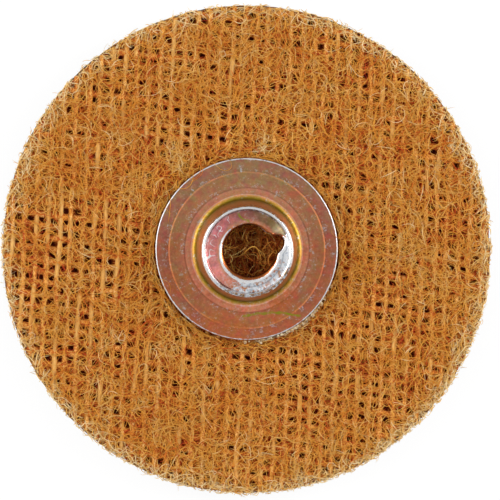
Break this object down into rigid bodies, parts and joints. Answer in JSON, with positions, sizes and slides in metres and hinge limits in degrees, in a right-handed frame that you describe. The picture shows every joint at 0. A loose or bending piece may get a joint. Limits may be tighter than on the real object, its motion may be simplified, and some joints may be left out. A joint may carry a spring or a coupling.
{
  "type": "surface conditioning disc",
  "caption": "Round non-woven abrasive disc with a woven scrim back and a stamped steel button whose lip forms a one-turn internal thread.",
  "frame": {"origin": "centre of the flat working face, on the surface that the disc lies on", "axes": "+Z from the working face towards the button, +Y towards the top of the picture, +X towards its right"},
  "size_m": [0.0508, 0.0508, 0.0092],
  "materials": {
    "abrasive_web": "non-woven nylon fibre loaded with dark grain and resin",
    "scrim_cloth": "open plain weave with ochre fibres needled through it",
    "button_adhesive": "cured beige adhesive",
    "threaded_button": "zinc plated and yellow chromated, with worn white edges"
  },
  "bodies": {
    "root": {"abrasive_web": "abrasive_web", "scrim_cloth": "scrim_cloth", "button_adhesive": "button_adhesive", "threaded_button": "threaded_button"}
  },
  "joints": []
}
